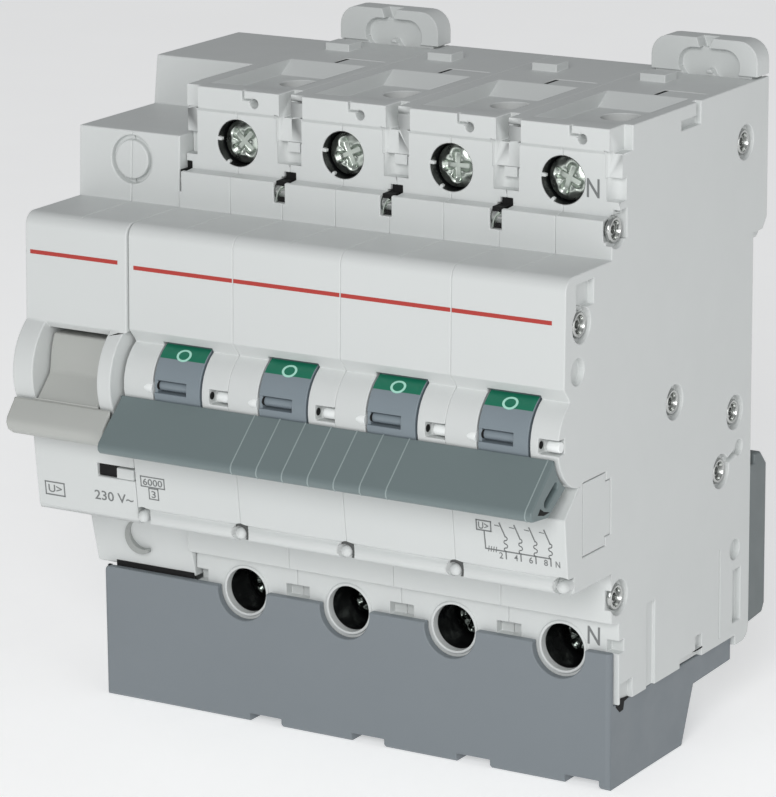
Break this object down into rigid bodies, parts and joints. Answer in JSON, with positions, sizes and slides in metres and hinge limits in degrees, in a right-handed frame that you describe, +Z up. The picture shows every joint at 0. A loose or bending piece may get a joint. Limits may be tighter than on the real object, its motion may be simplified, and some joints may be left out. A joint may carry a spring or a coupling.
{
  "type": "modular circuit breaker with overvoltage release block",
  "caption": "Rail-mounted modular breaker with linked toggles under one long handle bar, a release block with its own thumb lever, and a link box below.",
  "frame": {"origin": "centre of the mounting rail, on the rear seat of the housing, midway across the width", "axes": "+X across the modules to the right, +Y back into the rail, +Z up"},
  "size_m": [0.09, 0.0715, 0.1018],
  "materials": {
    "light_plastic": "fine moulded texture, light grey",
    "slate_plastic": "fine moulded texture, slate grey",
    "toggle_plastic": "satin blue-grey",
    "bar_plastic": "satin dark grey-green",
    "lever_plastic": "satin warm grey",
    "dark_plastic": "satin black",
    "board_green": "solder mask",
    "copper": "bright drawn copper",
    "plate_steel": "plain rolled steel",
    "zinc_steel": "zinc plated, bright"
  },
  "bodies": {
    "housing": {"release_shell_left": "light_plastic", "release_shell_right": "light_plastic", "pole_1_shell_left": "light_plastic", "pole_1_shell_right": "light_plastic", "pole_2_shell_left": "light_plastic", "pole_2_shell_right": "light_plastic", "pole_3_shell_left": "light_plastic", "pole_3_shell_right": "light_plastic", "pole_4_shell_left": "light_plastic", "pole_4_shell_right": "light_plastic", "rail_foot": "slate_plastic", "link_box": "slate_plastic", "link_busbars": "copper", "fixed_contacts": "copper", "arc_chutes": "plate_steel", "magnet_coils": "copper", "line_conductors": "copper", "bimetals": "copper", "braids": "copper", "toggle_axles": "zinc_steel", "release_axle": "zinc_steel", "housing_rivets": "zinc_steel", "release_rivets": "zinc_steel", "circuit_board": "board_green", "release_solenoid": "zinc_steel", "plunger_spring": "zinc_steel", "side_cap": "light_plastic", "link_pins": "light_plastic"},
    "handle": {"toggle_1": "toggle_plastic", "toggle_2": "toggle_plastic", "toggle_3": "toggle_plastic", "toggle_4": "toggle_plastic", "handle_bar": "bar_plastic"},
    "contacts": {"contact_arms": "copper"},
    "release_lever": {"release_lever": "lever_plastic"},
    "interlock": {"interlock_slider": "light_plastic"},
    "latch_left": {"rail_latch_left": "light_plastic"},
    "latch_right": {"rail_latch_right": "light_plastic"},
    "upper_screw_1": {"upper_screw_1": "zinc_steel"},
    "lower_screw_1": {"lower_screw_1": "zinc_steel"},
    "upper_clamp_1": {"upper_clamp_1": "zinc_steel"},
    "lower_clamp_1": {"lower_clamp_1": "zinc_steel"},
    "striker_1": {"striker_1": "zinc_steel"},
    "upper_screw_2": {"upper_screw_2": "zinc_steel"},
    "lower_screw_2": {"lower_screw_2": "zinc_steel"},
    "upper_clamp_2": {"upper_clamp_2": "zinc_steel"},
    "lower_clamp_2": {"lower_clamp_2": "zinc_steel"},
    "striker_2": {"striker_2": "zinc_steel"},
    "upper_screw_3": {"upper_screw_3": "zinc_steel"},
    "lower_screw_3": {"lower_screw_3": "zinc_steel"},
    "upper_clamp_3": {"upper_clamp_3": "zinc_steel"},
    "lower_clamp_3": {"lower_clamp_3": "zinc_steel"},
    "striker_3": {"striker_3": "zinc_steel"},
    "upper_screw_4": {"upper_screw_4": "zinc_steel"},
    "lower_screw_4": {"lower_screw_4": "zinc_steel"},
    "upper_clamp_4": {"upper_clamp_4": "zinc_steel"},
    "lower_clamp_4": {"lower_clamp_4": "zinc_steel"},
    "striker_4": {"striker_4": "zinc_steel"},
    "plunger": {"release_plunger": "zinc_steel"},
    "trip_shaft": {"trip_shaft": "dark_plastic"}
  },
  "joints": [
    {"name": "handle_swing", "type": "hinge", "parent": "housing", "child": "handle", "pos_m": [0, -0.0524, -0.0011], "axis": [-1, 0, 0], "range_deg": [0, 66]},
    {"name": "contact_swing", "type": "hinge", "parent": "housing", "child": "contacts", "pos_m": [0, -0.0425, 0.017], "axis": [1, 0, 0], "range_deg": [0, 11]},
    {"name": "release_lever_swing", "type": "hinge", "parent": "housing", "child": "release_lever", "pos_m": [-0.036, -0.0524, -0.0011], "axis": [-1, 0, 0], "range_deg": [0, 60]},
    {"name": "interlock_slide", "type": "slide", "parent": "housing", "child": "interlock", "axis": [-1, 0, 0], "range_m": [0, 0.0033]},
    {"name": "latch_left_slide", "type": "slide", "parent": "housing", "child": "latch_left", "axis": [0, 0, 1], "range_m": [0, 0.005], "stiffness_N_per_m": 400},
    {"name": "latch_right_slide", "type": "slide", "parent": "housing", "child": "latch_right", "axis": [0, 0, 1], "range_m": [0, 0.005], "stiffness_N_per_m": 400},
    {"name": "upper_clamp_1_slide", "type": "slide", "parent": "housing", "child": "upper_clamp_1", "axis": [0, -1, 0], "range_m": [0, 0.0055]},
    {"name": "upper_screw_1_turn", "type": "hinge", "parent": "housing", "child": "upper_screw_1", "pos_m": [-0.018, -0.0379, 0.0324], "axis": [0, 1, 0], "range_deg": [0, 2475.5]},
    {"name": "upper_clamp_2_slide", "type": "slide", "parent": "housing", "child": "upper_clamp_2", "axis": [0, -1, 0], "range_m": [0, 0.0055]},
    {"name": "upper_screw_2_turn", "type": "hinge", "parent": "housing", "child": "upper_screw_2", "pos_m": [0, -0.0379, 0.0324], "axis": [0, 1, 0], "range_deg": [0, 2475.5]},
    {"name": "upper_clamp_3_slide", "type": "slide", "parent": "housing", "child": "upper_clamp_3", "axis": [0, -1, 0], "range_m": [0, 0.0055]},
    {"name": "upper_screw_3_turn", "type": "hinge", "parent": "housing", "child": "upper_screw_3", "pos_m": [0.018, -0.0379, 0.0324], "axis": [0, 1, 0], "range_deg": [0, 2475.5]},
    {"name": "upper_clamp_4_slide", "type": "slide", "parent": "housing", "child": "upper_clamp_4", "axis": [0, -1, 0], "range_m": [0, 0.0055]},
    {"name": "upper_screw_4_turn", "type": "hinge", "parent": "housing", "child": "upper_screw_4", "pos_m": [0.036, -0.0379, 0.0324], "axis": [0, 1, 0], "range_deg": [0, 2475.5]},
    {"name": "lower_clamp_1_slide", "type": "slide", "parent": "housing", "child": "lower_clamp_1", "axis": [0, 1, 0], "range_m": [0, 0.0045]},
    {"name": "lower_screw_1_turn", "type": "hinge", "parent": "housing", "child": "lower_screw_1", "pos_m": [-0.018, -0.0339, -0.0358], "axis": [0, -1, 0], "range_deg": [0, 2025.5]},
    {"name": "lower_clamp_2_slide", "type": "slide", "parent": "housing", "child": "lower_clamp_2", "axis": [0, 1, 0], "range_m": [0, 0.0045]},
    {"name": "lower_screw_2_turn", "type": "hinge", "parent": "housing", "child": "lower_screw_2", "pos_m": [0, -0.0339, -0.0358], "axis": [0, -1, 0], "range_deg": [0, 2025.5]},
    {"name": "lower_clamp_3_slide", "type": "slide", "parent": "housing", "child": "lower_clamp_3", "axis": [0, 1, 0], "range_m": [0, 0.0045]},
    {"name": "lower_screw_3_turn", "type": "hinge", "parent": "housing", "child": "lower_screw_3", "pos_m": [0.018, -0.0339, -0.0358], "axis": [0, -1, 0], "range_deg": [0, 2025.5]},
    {"name": "lower_clamp_4_slide", "type": "slide", "parent": "housing", "child": "lower_clamp_4", "axis": [0, 1, 0], "range_m": [0, 0.0045]},
    {"name": "lower_screw_4_turn", "type": "hinge", "parent": "housing", "child": "lower_screw_4", "pos_m": [0.036, -0.0339, -0.0358], "axis": [0, -1, 0], "range_deg": [0, 2025.5]},
    {"name": "striker_1_slide", "type": "slide", "parent": "housing", "child": "striker_1", "axis": [0, -1, 0], "range_m": [0, 0.0022], "stiffness_N_per_m": 200},
    {"name": "striker_2_slide", "type": "slide", "parent": "housing", "child": "striker_2", "axis": [0, -1, 0], "range_m": [0, 0.0022], "stiffness_N_per_m": 200},
    {"name": "striker_3_slide", "type": "slide", "parent": "housing", "child": "striker_3", "axis": [0, -1, 0], "range_m": [0, 0.0022], "stiffness_N_per_m": 200},
    {"name": "striker_4_slide", "type": "slide", "parent": "housing", "child": "striker_4", "axis": [0, -1, 0], "range_m": [0, 0.0022], "stiffness_N_per_m": 200},
    {"name": "plunger_slide", "type": "slide", "parent": "housing", "child": "plunger", "axis": [0, -1, 0], "range_m": [0, 0.0035], "stiffness_N_per_m": 120},
    {"name": "trip_shaft_turn", "type": "hinge", "parent": "housing", "child": "trip_shaft", "pos_m": [0, -0.0475, -0.0155], "axis": [1, 0, 0], "range_deg": [0, 12], "stiffness_Nm_per_rad": 0.01}
  ],
  "couplings": [
    {"joint": "contact_swing", "follows": "handle_swing", "ratio": 0.16666},
    {"joint": "upper_screw_1_turn", "follows": "upper_clamp_1_slide", "rad_per_m": 7854},
    {"joint": "upper_screw_2_turn", "follows": "upper_clamp_2_slide", "rad_per_m": 7854},
    {"joint": "upper_screw_3_turn", "follows": "upper_clamp_3_slide", "rad_per_m": 7854},
    {"joint": "upper_screw_4_turn", "follows": "upper_clamp_4_slide", "rad_per_m": 7854},
    {"joint": "lower_screw_1_turn", "follows": "lower_clamp_1_slide", "rad_per_m": 7854},
    {"joint": "lower_screw_2_turn", "follows": "lower_clamp_2_slide", "rad_per_m": 7854},
    {"joint": "lower_screw_3_turn", "follows": "lower_clamp_3_slide", "rad_per_m": 7854},
    {"joint": "lower_screw_4_turn", "follows": "lower_clamp_4_slide", "rad_per_m": 7854}
  ]
}
